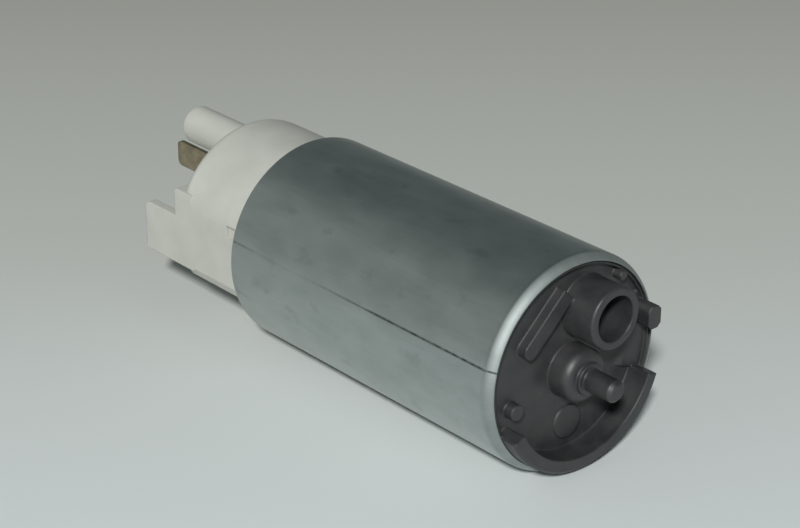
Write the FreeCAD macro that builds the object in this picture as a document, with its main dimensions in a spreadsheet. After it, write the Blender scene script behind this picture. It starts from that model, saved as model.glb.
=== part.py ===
import FreeCAD, Part
import math
import os
import Sketcher

# In-tank electric fuel pump, in millimetres.
# The axis of the pump is X. The origin is the middle of the casing on that axis, the inlet end
# points along +X and the pump lies as it does on a table, with +Z up.

V = FreeCAD.Vector
ORIGIN = V(0, 0, 0)
ALONG_X = V(1, 0, 0)
ALONG_Y = V(0, 1, 0)
ALONG_Z = V(0, 0, 1)
X_UPRIGHT = FreeCAD.Rotation(V(0, 1, 0), 90)

doc = FreeCAD.newDocument("fuel_pump")
sheet = doc.addObject("Spreadsheet::Sheet", "Sizes")

SIZES = [
    ("skirt_length", 14.2),
    ("casing_radius", 19.0),
    ("casing_wall", 0.7),
    ("lip_thickness", 0.7),
    ("lip_overlap", 1.1),
    ("inlet_lip_round", 1.5),
    ("outlet_lip_round", 0.9),
    ("seat_gap", 0.05),
    ("running_gap", 0.05),
    ("side_gap", 0.3),
    ("impeller_gap", 0.15),
    ("cover_thickness", 6.2),
    ("cover_recess", 1.2),
    ("cover_rim_wall", 0.95),
    ("inlet_y", 3.2),
    ("inlet_inset", 9.6),
    ("inlet_radius", 5.4),
    ("inlet_bore_radius", 4.0),
    ("inlet_reach", 5.2),
    ("inlet_rim_round", 0.4),
    ("inlet_floor", 6.2),
    ("port_radius", 1.6),
    ("outlet_port_radius", 1.3),
    ("port_shift", 0.22),
    ("feature_root", 1.0),
    ("pin_z", -1.1),
    ("boss_radius", 4.7),
    ("boss_reach", 2.6),
    ("boss_round", 1.7),
    ("pin_step_radius", 2.8),
    ("pin_step_reach", 3.4),
    ("pin_radius", 1.95),
    ("pin_reach", 9.3),
    ("pin_tip_bevel", 0.6),
    ("ridge_width", 2.4),
    ("ridge_inset", 1.2),
    ("ridge_reach", 2.7),
    ("ridge_bevel", 0.5),
    ("land_width", 4.5),
    ("land_slope", 1.3),
    ("land_drop", 0.7),
    ("lug_inset", 3.8),
    ("lug_z", 4.9),
    ("lug_width", 2.8),
    ("lug_height", 4.0),
    ("stop_y", 10.2),
    ("stop_inset", 6.0),
    ("stop_radius", 0.8),
    ("vent_inset", 5.4),
    ("vent_z", 7.6),
    ("vent_radius", 0.6),
    ("peg_inset", 6.0),
    ("peg_z", -4.0),
    ("peg_radius", 1.4),
    ("disc_z", -10.8),
    ("disc_radius", 3.0),
    ("disc_height", 0.3),
    ("rib_width", 2.9),
    ("rib_inset", 8.8),
    ("rib_end_z", 6.0),
    ("rib_length", 11.0),
    ("body_thickness", 8.0),
    ("pocket_wall", 3.45),
    ("impeller_thickness", 3.2),
    ("vane_length", 2.6),
    ("vane_rim", 0.6),
    ("vane_slot", 1.5),
    ("vane_slot_inner", 1.2),
    ("channel_depth", 1.1),
    ("channel_corner", 0.7),
    ("channel_corner_depth", 0.44),
    ("shaft_radius", 2.0),
    ("shaft_flat", 1.6),
    ("shaft_end_bevel", 0.5),
    ("key_half_width", 1.9),
    ("key_reach", 2.9),
    ("bush_thickness", 2.0),
    ("front_bearing_length", 3.8),
    ("rear_bearing_length", 5.0),
    ("bush_end_gap", 0.4),
    ("button_radius", 2.5),
    ("button_thickness", 1.5),
    ("button_depth", 2.2),
    ("ring_length", 38.0),
    ("ring_wall", 1.35),
    ("magnet_thickness", 4.5),
    ("magnet_rear_gap", 6.0),
    ("magnet_front_gap", 4.0),
    ("clip_thickness", 0.5),
    ("clip_depth", 3.6),
    ("clip_overlap", 0.1),
    ("air_gap", 0.7),
    ("core_rear_gap", 10.0),
    ("core_front_gap", 8.0),
    ("slot_inset", 3.5),
    ("slot_radius", 1.9),
    ("slot_mouth", 1.2),
    ("winding_gap", 0.1),
    ("insulator_thickness", 0.6),
    ("insulator_inset", 0.4),
    ("winding_inset", 1.3),
    ("winding_inner_radius", 3.6),
    ("winding_round", 1.6),
    ("front_winding_length", 4.2),
    ("rear_winding_length", 2.6),
    ("commutator_inset", 2.3),
    ("commutator_thickness", 3.2),
    ("commutator_hub_radius", 3.0),
    ("commutator_slit", 0.5),
    ("washer_radius", 3.2),
    ("washer_thickness", 0.8),
    ("cap_step", 1.6),
    ("cap_reach", 18.4),
    ("cap_end_wall", 3.3),
    ("cap_edge_radius", 2.0),
    ("skirt_wall", 2.05),
    ("cap_wall", 3.0),
    ("cap_side_round", 9.0),
    ("skirt_slope", 1.5),
    ("flat_cut", 1.4),
    ("chord_cut", 1.2),
    ("hub_wall", 1.4),
    ("hub_setback", 3.0),
    ("tube_y", 3.0),
    ("tube_inset", 7.6),
    ("tube_radius", 3.65),
    ("tube_bore_radius", 2.3),
    ("tube_reach", 20.5),
    ("tube_round", 0.8),
    ("valve_housing_radius", 4.6),
    ("valve_chamber_radius", 3.1),
    ("valve_chamber_depth", 14.0),
    ("valve_chamber_sink", 1.0),
    ("valve_seat_length", 3.0),
    ("valve_seat_bore", 1.7),
    ("valve_nose", 0.8),
    ("valve_nose_gap", 0.1),
    ("valve_head_radius", 2.8),
    ("valve_head_length", 1.6),
    ("valve_stem_radius", 0.9),
    ("valve_stem_length", 5.0),
    ("valve_spring_inset", 0.15),
    ("valve_wire_radius", 0.25),
    ("relief_y", 7.0),
    ("relief_inset", 9.4),
    ("relief_housing_radius", 3.8),
    ("relief_bore_radius", 2.0),
    ("relief_port_radius", 1.2),
    ("relief_bore_depth", 8.0),
    ("relief_housing_depth", 6.5),
    ("relief_ball_radius", 1.7),
    ("relief_wire_radius", 0.2),
    ("relief_retainer_length", 1.5),
    ("relief_retainer_bore", 1.1),
    ("bush_wall", 0.9),
    ("brush_extra_height", 1.4),
    ("brush_length", 8.0),
    ("brush_face_gap", 0.1),
    ("brush_slide_gap", 0.1),
    ("holder_wall", 1.2),
    ("holder_length", 17.0),
    ("brush_wire_radius", 0.25),
    ("lead_radius", 0.45),
    ("lead_bend", 1.0),
    ("lead_turn_gap", 1.6),
    ("lead_route_y", -1.0),
    ("lead_route_inset", 4.0),
    ("terminal_inset", 7.5),
    ("terminal_thickness", 0.8),
    ("terminal_reach", 10.2),
    ("terminal_height", 4.8),
    ("terminal_round", 1.0),
    ("upper_terminal_z", 10.2),
    ("lower_terminal_z", -2.4),
    ("tang_height", 2.2),
    ("upper_tang_z", 9.4),
    ("lower_tang_z", -2.4),
    ("tang_depth", 3.0),
    ("choke_radius", 2.0),
    ("choke_core_radius", 1.3),
    ("choke_length", 6.0),
    ("choke_shoulder", 0.8),
    ("upper_choke_shift", 1.3),
    ("upper_choke_drop", 0.8),
    ("lower_choke_drop", 1.2),
    ("latch_thickness", 1.6),
    ("latch_bottom", -7.5),
    ("latch_top", 2.1),
    ("latch_reach", 11.4),
    ("latch_round", 1.5),
    ("seat_block_depth", 4.0),
    ("seat_block_top", 7.6),
    ("seat_block_reach", 1.9),
    ("seat_block_round", 0.8),
    ("notch_bottom", 2.6),
    ("notch_top", 5.2),
    ("notch_depth", 0.6),
    ("notch_length", 4.6),
    ("seal_wire_radius", 0.65),
    ("seal_setback", 3.2),
    ("seal_side_gap", 0.1),
]

# Counts and angles, which have no length
VANE_COUNT = 32
SLOT_COUNT = 8
COMMUTATOR_BARS = 8

# How much of a bundle of end turns stands straight before it rounds off
STRAIGHT_SHARE = 0.6
MAGNET_ANGLE = 128.0
CLIP_PLAY_ANGLE = 2.0
RIDGE_START = 206.0
RIDGE_SWEEP = 134.0
LAND_START = -21.0
LAND_SWEEP = 50.0
RIB_ANGLE = 43.0
CHANNEL_START = 80.0
CHANNEL_SWEEP = 325.0
OUTLET_PORT_ANGLE = 35.0
CHORD_ANGLE = 231.0
BRUSH_ANGLE = -45.0

# Directions round the axis, from +Y
QUARTER_TURN = 90.0
HALF_TURN = 180.0

# How near, in mm, an edge lies to the place where it is looked for
EDGE_MATCH = 0.001

# How far, in mm, a bore is carried past both ends of a piece so that it cuts right through
CUT_PAST = 0.5


class Length:
    """A number together with the sheet expression that gives it."""

    def __init__(self, value, text):
        self.value = value
        self.text = text

    def joined(self, other, sign, value):
        return Length(value, "(%s %s %s)" % (self.text, sign, as_length(other).text))

    def __add__(self, other):
        return self.joined(other, "+", self.value + as_length(other).value)

    def __sub__(self, other):
        return self.joined(other, "-", self.value - as_length(other).value)

    def __mul__(self, other):
        return self.joined(other, "*", self.value * as_length(other).value)

    def __truediv__(self, other):
        return self.joined(other, "/", self.value / as_length(other).value)

    def __radd__(self, other):
        return as_length(other) + self

    def __rsub__(self, other):
        return as_length(other) - self

    def __neg__(self):
        return Length(-self.value, "(0 - %s)" % self.text)


def as_length(number):
    if isinstance(number, Length):
        return number
    return Length(float(number), "%.6f" % number)


class Named:
    """The sheet's sizes, read by name."""


S = Named()
for row, (alias, number) in enumerate(SIZES, start=1):
    sheet.set("A%d" % row, alias)
    sheet.set("B%d" % row, str(number))
    sheet.setAlias("B%d" % row, alias)
    setattr(S, alias, Length(number, "Sizes.%s" % alias))
doc.recompute()

# Stations along the axis, from the inlet lip to the outlet lip
stack_length = S.cover_thickness + S.body_thickness + S.ring_length + S.skirt_length
casing_length = stack_length + S.lip_thickness * 2
near_end = casing_length / 2
cover_rim_x = near_end - S.lip_thickness
plate_x = cover_rim_x - S.cover_recess
cover_back_x = cover_rim_x - S.cover_thickness
body_back_x = cover_back_x - S.body_thickness
ring_back_x = body_back_x - S.ring_length
cap_rim_x = S.lip_thickness - near_end
cap_end_x = cap_rim_x - S.cap_reach - S.lip_thickness
cap_wall_x = cap_end_x + S.cap_end_wall
pocket_depth = S.impeller_thickness + S.impeller_gap * 2
pocket_x = cover_back_x - pocket_depth
hub_front_x = ring_back_x - S.hub_setback
magnet_length = S.ring_length - S.magnet_front_gap - S.magnet_rear_gap
magnet_x = ring_back_x + S.magnet_rear_gap
core_length = S.ring_length - S.core_front_gap - S.core_rear_gap
core_x = ring_back_x + S.core_rear_gap
commutator_front_x = core_x - S.insulator_thickness - S.rear_winding_length - S.side_gap
commutator_x = commutator_front_x - S.commutator_thickness
brush_x = commutator_x - S.brush_face_gap
holder_back_x = ring_back_x - S.holder_length
chamber_end_x = cap_wall_x - S.valve_chamber_sink
chamber_start_x = chamber_end_x + S.valve_chamber_depth

# Radii, from the casing inwards
lip_bore_radius = S.casing_radius - S.lip_overlap
casing_bore = S.casing_radius - S.casing_wall
seat_radius = casing_bore - S.seat_gap
cover_recess_radius = seat_radius - S.cover_rim_wall
ridge_outer_radius = S.casing_radius - S.ridge_inset
ridge_inner_radius = ridge_outer_radius - S.ridge_width
land_inner_radius = cover_recess_radius - S.land_width
impeller_radius = seat_radius - S.pocket_wall
vane_outer_radius = impeller_radius - S.vane_rim
vane_inner_radius = vane_outer_radius - S.vane_length
ring_bore = seat_radius - S.ring_wall
magnet_radius = ring_bore - S.magnet_thickness
core_radius = magnet_radius - S.air_gap
slot_pitch_radius = core_radius - S.slot_inset
insulator_radius = core_radius - S.insulator_inset
winding_radius = core_radius - S.winding_inset
commutator_radius = core_radius - S.commutator_inset
bearing_radius = S.shaft_radius + S.bush_thickness
hub_radius = bearing_radius + S.hub_wall
cap_radius = S.casing_radius - S.cap_step
cap_skirt_bore = seat_radius - S.skirt_wall
cap_cavity_radius = cap_radius - S.cap_wall
cap_flat = cap_radius - S.flat_cut
cap_chord = cap_radius - S.chord_cut

# The brushes lie between the rear bush's wall and the edge of the commutator
brush_inner = bearing_radius + S.bush_wall
brush_outer = commutator_radius - S.side_gap
brush_width = brush_outer - brush_inner
brush_height = brush_width + S.brush_extra_height
brush_pitch_radius = (brush_outer + brush_inner) / 2

# Places across the axis
inlet_z = S.casing_radius - S.inlet_inset
tube_z = cap_radius - S.tube_inset
relief_z = S.relief_inset - cap_radius
terminal_y = S.terminal_inset - cap_flat
upper_choke_y = terminal_y + S.upper_choke_shift
upper_choke_z = S.upper_tang_z - S.upper_choke_drop
lower_choke_z = S.lower_tang_z - S.lower_choke_drop
lug_y = S.casing_radius - S.lug_inset
peg_y = S.peg_inset - S.casing_radius
rib_end_y = S.rib_inset - S.casing_radius
stop_z = S.casing_radius - S.stop_inset
vent_y = S.casing_radius - S.vent_inset
lead_route_z = S.lead_route_inset - cap_cavity_radius

finished = []


def keep(shape_object, label):
    """Name a finished piece and put it on the list of files to write."""
    shape_object.Label = label
    finished.append(shape_object)
    return shape_object


def bind(target, **lengths):
    for name, length in lengths.items():
        target.setExpression(name.replace("__", "."), as_length(length).text)


def plane(body, role):
    for feature in body.Origin.OriginFeatures:
        if feature.Role == role:
            return feature


def new_sketch(body, role, base, rotation=FreeCAD.Rotation()):
    sketch = body.newObject("Sketcher::SketchObject", "Sketch")
    sketch.AttachmentSupport = [(plane(body, role), "")]
    sketch.MapMode = "FlatFace"
    base = [as_length(part) for part in base]
    sketch.AttachmentOffset = FreeCAD.Placement(V(*[part.value for part in base]), rotation)
    for axis, part in zip("xyz", base):
        sketch.setExpression("AttachmentOffset.Base.%s" % axis, part.text)
    return sketch


def fix(sketch, kind, item, point, length):
    """Hold one coordinate of a point at a named length from the sketch's origin."""
    length = as_length(length)
    if length.value == 0:
        axis = -2 if kind == "DistanceX" else -1
        sketch.addConstraint(Sketcher.Constraint("PointOnObject", item, point, axis))
        return
    number = sketch.addConstraint(Sketcher.Constraint(kind, -1, 1, item, point, length.value))
    sketch.setExpression("Constraints[%d]" % number, length.text)


def draw_outline(sketch, points):
    """A closed outline of straight lines through points that are pairs of lengths."""
    points = [(as_length(across), as_length(up)) for across, up in points]
    corners = [V(across.value, up.value, 0) for across, up in points]
    items = []
    for number, corner in enumerate(corners):
        following = corners[(number + 1) % len(corners)]
        items.append(sketch.addGeometry(Part.LineSegment(corner, following)))
    for number, item in enumerate(items):
        following = items[(number + 1) % len(items)]
        sketch.addConstraint(Sketcher.Constraint("Coincident", item, 2, following, 1))
    for item, (across, up) in zip(items, points):
        fix(sketch, "DistanceX", item, 1, across)
        fix(sketch, "DistanceY", item, 1, up)


def draw_circle(sketch, across, up, radius):
    across, up, radius = as_length(across), as_length(up), as_length(radius)
    item = sketch.addGeometry(Part.Circle(V(across.value, up.value, 0), ALONG_Z, radius.value))
    number = sketch.addConstraint(Sketcher.Constraint("Radius", item, radius.value))
    sketch.setExpression("Constraints[%d]" % number, radius.text)
    fix(sketch, "DistanceX", item, 3, across)
    fix(sketch, "DistanceY", item, 3, up)


def turned(body, points, start=0.0, sweep=360.0, centre=(0, 0), cut=False):
    """Revolve or groove an outline of (station, radius) points about a line along X."""
    rotation = FreeCAD.Rotation(ALONG_X, start)
    sketch = new_sketch(body, "XY_Plane", (0, centre[0], centre[1]), rotation)
    draw_outline(sketch, points)
    feature = body.newObject("PartDesign::Groove" if cut else "PartDesign::Revolution", "Turned")
    feature.Profile = sketch
    feature.ReferenceAxis = (sketch, ["H_Axis"])
    feature.Angle = sweep
    return feature


def section(body, station, shapes, turn=0.0):
    """A sketch square to X at a station, with circles (y, z, radius) and outlines [(y, z), ...]."""
    sketch = new_sketch(body, "YZ_Plane", (0, 0, station), FreeCAD.Rotation(ALONG_Z, turn))
    for shape in shapes:
        if isinstance(shape, list):
            draw_outline(sketch, shape)
        else:
            draw_circle(sketch, *shape)
    return sketch


def pad(body, sketch, length, towards_outlet=False, taper=0.0):
    feature = body.newObject("PartDesign::Pad", "Pad")
    feature.Profile = sketch
    feature.Reversed = towards_outlet
    feature.TaperAngle = taper
    bind(feature, Length=length)
    return feature


def pocket(body, sketch, length, towards_inlet=False):
    feature = body.newObject("PartDesign::Pocket", "Pocket")
    feature.Profile = sketch
    feature.Reversed = towards_inlet
    bind(feature, Length=length)
    return feature


def ring_of(body, feature, count):
    """Repeat a feature evenly round the pump's axis."""
    pattern = body.newObject("PartDesign::PolarPattern", "Ring")
    pattern.Originals = [feature]
    pattern.Axis = (plane(body, "X_Axis"), [""])
    pattern.Angle = 360
    pattern.Occurrences = count
    body.Tip = pattern
    return pattern


def add_round(body, is_wanted, size):
    """Round every edge of the body, as it stands, that passes a test."""
    doc.recompute()
    names = ["Edge%d" % number for number, edge in enumerate(body.Shape.Edges, start=1) if is_wanted(edge)]
    if not names:
        raise RuntimeError("no edge to round on " + body.Label)
    base = body.Tip
    feature = body.newObject("PartDesign::Fillet", "Round")
    feature.Base = (base, names)
    bind(feature, Radius=size)


def round_edge(body, station, radius, size, centre=(0, 0)):
    """Round the circular edges of that radius about a line along X, at a station."""
    radius = as_length(radius).value
    middle = V(*[as_length(part).value for part in (station, centre[0], centre[1])])

    def is_wanted(edge):
        if not isinstance(edge.Curve, Part.Circle) or abs(edge.Curve.Radius - radius) > EDGE_MATCH:
            return False
        return (edge.Curve.Center - middle).Length < EDGE_MATCH

    add_round(body, is_wanted, size)


def round_line(body, point, direction, size):
    """Round the straight edges that run along a direction through a point."""
    point = V(*[as_length(part).value for part in point])

    def is_wanted(edge):
        if not isinstance(edge.Curve, (Part.Line, Part.LineSegment)):
            return False
        along = edge.Curve.Direction
        return (along.cross(direction).Length < EDGE_MATCH
                and (edge.Vertexes[0].Point - point).cross(direction).Length < EDGE_MATCH)

    add_round(body, is_wanted, size)


def round_end(body, station, size):
    """Round the outline of the face square to X at a station."""
    station = as_length(station).value
    add_round(body, lambda edge: max(abs(edge.BoundBox.XMin - station),
                                     abs(edge.BoundBox.XMax - station)) < EDGE_MATCH, size)


def rod(radius, start, end, centre=(0, 0), angle=360.0, turn=0.0):
    """A round bar along X between two stations; start is nearer the outlet."""
    bar = doc.addObject("Part::Cylinder", "Rod")
    rotation = FreeCAD.Rotation(ALONG_X, turn).multiply(X_UPRIGHT)
    bar.Placement = FreeCAD.Placement(ORIGIN, rotation)
    bar.Angle = angle
    bind(bar, Radius=radius, Height=as_length(end) - start, Placement__Base__x=start,
         Placement__Base__y=centre[0], Placement__Base__z=centre[1])
    return bar


def minus(base, tool):
    result = doc.addObject("Part::Cut", "Cut")
    result.Base = base
    result.Tool = tool
    return result


def tube(outer, inner, start, end, centre=(0, 0)):
    return minus(rod(outer, start, end, centre), rod(inner, start - CUT_PAST, end + CUT_PAST, centre))


def arc_between(start, tangent, end):
    """The arc that leaves start along tangent and reaches end."""
    chord = end - start
    along = V(chord).normalize()
    side = tangent - along * tangent.dot(along)
    if side.Length < 1e-7:
        return Part.LineSegment(start, end).toShape()
    angle = tangent.getAngle(chord)
    middle = (start + end) * 0.5 + side.normalize() * (chord.Length * 0.5 * math.tan(angle / 2))
    return Part.Arc(start, middle, end).toShape()


def swept(edges, direction, wire_radius):
    path = Part.Wire(Part.sortEdges(edges)[0])
    first = edges[0].Vertexes[0].Point
    ring = Part.Wire([Part.Circle(first, direction, wire_radius).toShape()])
    return path.makePipeShell([ring], True, False)


def wire_shape(points, bend_radius, wire_radius):
    """A round wire along straight runs joined by bends."""
    edges = []
    leaving = points[0]
    for before, corner, after in zip(points, points[1:], points[2:]):
        incoming = (corner - before).normalize()
        outgoing = (after - corner).normalize()
        half = incoming.getAngle(outgoing) / 2
        setback = bend_radius * math.tan(half)
        bend_start = corner - incoming * setback
        bend_end = corner + outgoing * setback
        edges.append(Part.LineSegment(leaving, bend_start).toShape())
        edges.append(arc_between(bend_start, incoming, bend_end))
        leaving = bend_end
    edges.append(Part.LineSegment(leaving, points[-1]).toShape())
    return swept(edges, (points[1] - points[0]).normalize(), wire_radius)


def set_shape(label, shape):
    piece = doc.addObject("Part::Feature", label)
    piece.Shape = shape
    return keep(piece, label)


def make_casing():
    """Thin rolled steel tube. Both rims are rolled inwards over the stack and then trimmed."""
    body = doc.addObject("PartDesign::Body", "casing_tube")
    untrimmed = lip_bore_radius - S.inlet_lip_round
    turned(body, [
        (-near_end, untrimmed),
        (-near_end, S.casing_radius),
        (near_end, S.casing_radius),
        (near_end, untrimmed),
        (cover_rim_x, untrimmed),
        (cover_rim_x, casing_bore),
        (cap_rim_x, casing_bore),
        (cap_rim_x, untrimmed),
    ])
    round_edge(body, near_end, S.casing_radius, S.inlet_lip_round)
    round_edge(body, cover_rim_x, casing_bore, S.inlet_lip_round - S.casing_wall)
    round_edge(body, -near_end, S.casing_radius, S.outlet_lip_round)
    pocket(body, section(body, near_end, [(0, 0, lip_bore_radius)]), casing_length)
    keep(body, "casing_tube")


def make_inlet_cover():
    """Moulded cover: recessed face, inlet tube, stepped pin, arc ridge, land, lug, peg and rib."""
    body = doc.addObject("PartDesign::Body", "inlet_cover")
    shoulder = S.inlet_lip_round - S.casing_wall
    turned(body, [
        (cover_back_x, 0),
        (cover_back_x, seat_radius),
        (cover_rim_x - shoulder, seat_radius),
        (cover_rim_x, seat_radius - shoulder),
        (cover_rim_x, cover_recess_radius),
        (plate_x, cover_recess_radius),
        (plate_x, 0),
    ])
    root = plate_x - S.feature_root
    mouth = near_end + S.inlet_reach
    inlet_spot = (S.inlet_y, inlet_z)
    pad(body, section(body, root, [inlet_spot + (S.inlet_radius,)]), mouth - root)
    round_edge(body, mouth, S.inlet_radius, S.inlet_rim_round, inlet_spot)

    boss_end = near_end + S.boss_reach
    step = near_end + S.pin_step_reach
    tip = near_end + S.pin_reach
    turned(body, [
        (root, 0),
        (root, S.boss_radius),
        (boss_end, S.boss_radius),
        (boss_end, S.pin_step_radius),
        (step, S.pin_step_radius),
        (step, S.pin_radius),
        (tip - S.pin_tip_bevel, S.pin_radius),
        (tip, S.pin_radius - S.pin_tip_bevel),
        (tip, 0),
    ], centre=(0, S.pin_z))
    round_edge(body, boss_end, S.boss_radius, S.boss_round, (0, S.pin_z))

    ridge_top = near_end + S.ridge_reach
    turned(body, [
        (root, ridge_inner_radius),
        (root, ridge_outer_radius),
        (ridge_top - S.ridge_bevel, ridge_outer_radius),
        (ridge_top, ridge_outer_radius - S.ridge_bevel),
        (ridge_top, ridge_inner_radius),
    ], start=RIDGE_START, sweep=RIDGE_SWEEP)
    land_top = cover_rim_x - S.land_drop
    turned(body, [
        (root, land_inner_radius - S.land_slope),
        (plate_x, land_inner_radius - S.land_slope),
        (land_top, land_inner_radius),
        (land_top, cover_recess_radius + S.seat_gap),
        (root, cover_recess_radius + S.seat_gap),
    ], start=LAND_START, sweep=LAND_SWEEP)

    lug = oval_outline(lug_y, S.lug_z, S.lug_width, S.lug_height)
    pad(body, section(body, root, [lug]), ridge_top - root)
    pad(body, section(body, root, [(peg_y, S.peg_z, S.peg_radius)]), near_end - root)
    pad(body, section(body, root, [(0, S.disc_z, S.disc_radius)]), S.feature_root + S.disc_height)
    pad(body, section(body, root, [rib_outline()]), near_end - root)
    pad(body, section(body, root, [(rib_end_y, S.rib_end_z, S.rib_width / 2)]), near_end - root)
    pad(body, section(body, root, [(S.stop_y, stop_z, S.stop_radius)]), near_end - root)

    floor = cover_back_x + S.inlet_floor
    pocket(body, section(body, mouth, [inlet_spot + (S.inlet_bore_radius,)]), mouth - floor)
    outwards = S.port_shift + 1
    port = (S.inlet_y * outwards, inlet_z * outwards, S.port_radius)
    pocket(body, section(body, floor, [port]), S.inlet_floor)
    pocket(body, section(body, land_top, [(vent_y, S.vent_z, S.vent_radius)]), S.feature_root * 2)
    turned(body, channel_outline(cover_back_x, 1), start=CHANNEL_START, sweep=CHANNEL_SWEEP, cut=True)
    button_seat = section(body, cover_back_x, [(0, 0, S.button_radius + S.seat_gap)])
    pocket(body, button_seat, S.button_depth, towards_inlet=True)
    keep(body, "inlet_cover")


def oval_outline(middle_y, middle_z, width, height):
    """An eight-sided oval, wider or taller, about a point."""
    half_y = width / 2
    half_z = height / 2
    corner = width / 4
    return [
        (middle_y - half_y + corner, middle_z - half_z),
        (middle_y + half_y - corner, middle_z - half_z),
        (middle_y + half_y, middle_z - half_z + corner),
        (middle_y + half_y, middle_z + half_z - corner),
        (middle_y + half_y - corner, middle_z + half_z),
        (middle_y - half_y + corner, middle_z + half_z),
        (middle_y - half_y, middle_z + half_z - corner),
        (middle_y - half_y, middle_z - half_z + corner),
    ]


def rib_outline():
    """The straight part of the rib, from its round end to the foot of the inlet tube."""
    cosine = math.cos(math.radians(RIB_ANGLE))
    sine = math.sin(math.radians(RIB_ANGLE))
    half = S.rib_width / 2
    return [
        (rib_end_y - half * sine, S.rib_end_z + half * cosine),
        (rib_end_y + half * sine, S.rib_end_z - half * cosine),
        (rib_end_y + half * sine + S.rib_length * cosine, S.rib_end_z - half * cosine + S.rib_length * sine),
        (rib_end_y - half * sine + S.rib_length * cosine, S.rib_end_z + half * cosine + S.rib_length * sine),
    ]


def channel_outline(face, side):
    """Half of the side channel that the impeller's vanes run over."""
    depth = S.channel_depth * side
    wall = depth - S.channel_corner_depth * side
    return [
        (face, vane_inner_radius),
        (face + wall, vane_inner_radius),
        (face + depth, vane_inner_radius + S.channel_corner),
        (face + depth, vane_outer_radius - S.channel_corner),
        (face + wall, vane_outer_radius),
        (face, vane_outer_radius),
    ]


def make_pump_body():
    """Disc behind the impeller, with the impeller's pocket, side channel, outlet port and front bush."""
    body = doc.addObject("PartDesign::Body", "pump_body")
    bush_end = body_back_x + S.front_bearing_length
    pocket_radius = impeller_radius + S.side_gap
    turned(body, [
        (body_back_x, bearing_radius),
        (body_back_x, seat_radius),
        (cover_back_x, seat_radius),
        (cover_back_x, pocket_radius),
        (pocket_x, pocket_radius),
        (pocket_x, S.shaft_radius + S.side_gap),
        (bush_end, S.shaft_radius + S.side_gap),
        (bush_end, bearing_radius),
    ])
    turned(body, channel_outline(pocket_x, -1), start=CHANNEL_START, sweep=CHANNEL_SWEEP, cut=True)
    middle = (vane_inner_radius + vane_outer_radius) / 2
    outlet = section(body, pocket_x, [(middle, 0, S.outlet_port_radius)], turn=OUTLET_PORT_ANGLE)
    pocket(body, outlet, S.body_thickness)
    keep(body, "pump_body")


def make_impeller():
    """Closed-rim impeller, with a ring of vane slots and a bore with one flat."""
    body = doc.addObject("PartDesign::Body", "impeller")
    back = cover_back_x - S.impeller_gap - S.impeller_thickness
    pad(body, section(body, back, [(0, 0, impeller_radius)]), S.impeller_thickness)
    slot = section(body, back + S.impeller_thickness, [[
        (vane_inner_radius, S.vane_slot_inner / -2),
        (vane_outer_radius, S.vane_slot / -2),
        (vane_outer_radius, S.vane_slot / 2),
        (vane_inner_radius, S.vane_slot_inner / 2),
    ]])
    vane = pocket(body, slot, S.impeller_thickness)
    doc.recompute()
    ring_of(body, vane, VANE_COUNT)
    bore = section(body, back + S.impeller_thickness, [(0, 0, S.shaft_radius + S.seat_gap)])
    pocket(body, bore, S.impeller_thickness)
    key = section(body, back, [[
        (S.shaft_flat + S.seat_gap, -S.key_half_width),
        (S.key_reach, -S.key_half_width),
        (S.key_reach, S.key_half_width),
        (S.shaft_flat + S.seat_gap, S.key_half_width),
    ]])
    pad(body, key, S.impeller_thickness)
    keep(body, "impeller")


def make_shaft():
    """Ground shaft with rounded ends and a flat for the impeller."""
    body = doc.addObject("PartDesign::Body", "shaft")
    front = cover_back_x + S.button_depth - S.button_thickness - S.running_gap
    back = hub_front_x - S.rear_bearing_length
    turned(body, [
        (back, 0),
        (back, S.shaft_radius - S.shaft_end_bevel),
        (back + S.shaft_end_bevel, S.shaft_radius),
        (front - S.shaft_end_bevel, S.shaft_radius),
        (front, S.shaft_radius - S.shaft_end_bevel),
        (front, 0),
    ])
    flat_start = pocket_x + S.impeller_gap
    flat = section(body, front, [[
        (S.shaft_flat, -S.shaft_radius),
        (S.shaft_radius * 2, -S.shaft_radius),
        (S.shaft_radius * 2, S.shaft_radius),
        (S.shaft_flat, S.shaft_radius),
    ]])
    pocket(body, flat, front - flat_start)
    keep(body, "shaft")


def make_bearings():
    """Sintered bushes, the hard button that takes the shaft's thrust, and a washer."""
    bore = S.shaft_radius + S.running_gap
    front = tube(bearing_radius, bore, body_back_x, body_back_x + S.front_bearing_length)
    keep(front, "front_bearing")
    rear = tube(bearing_radius, bore, hub_front_x - S.rear_bearing_length, hub_front_x)
    keep(rear, "rear_bearing")
    button_end = cover_back_x + S.button_depth
    button = rod(S.button_radius, button_end - S.button_thickness, button_end)
    keep(button, "thrust_button")
    washer_front = hub_front_x + S.side_gap + S.washer_thickness
    washer = tube(S.washer_radius, S.shaft_radius, hub_front_x + S.side_gap, washer_front)
    keep(washer, "rear_washer")


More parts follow.
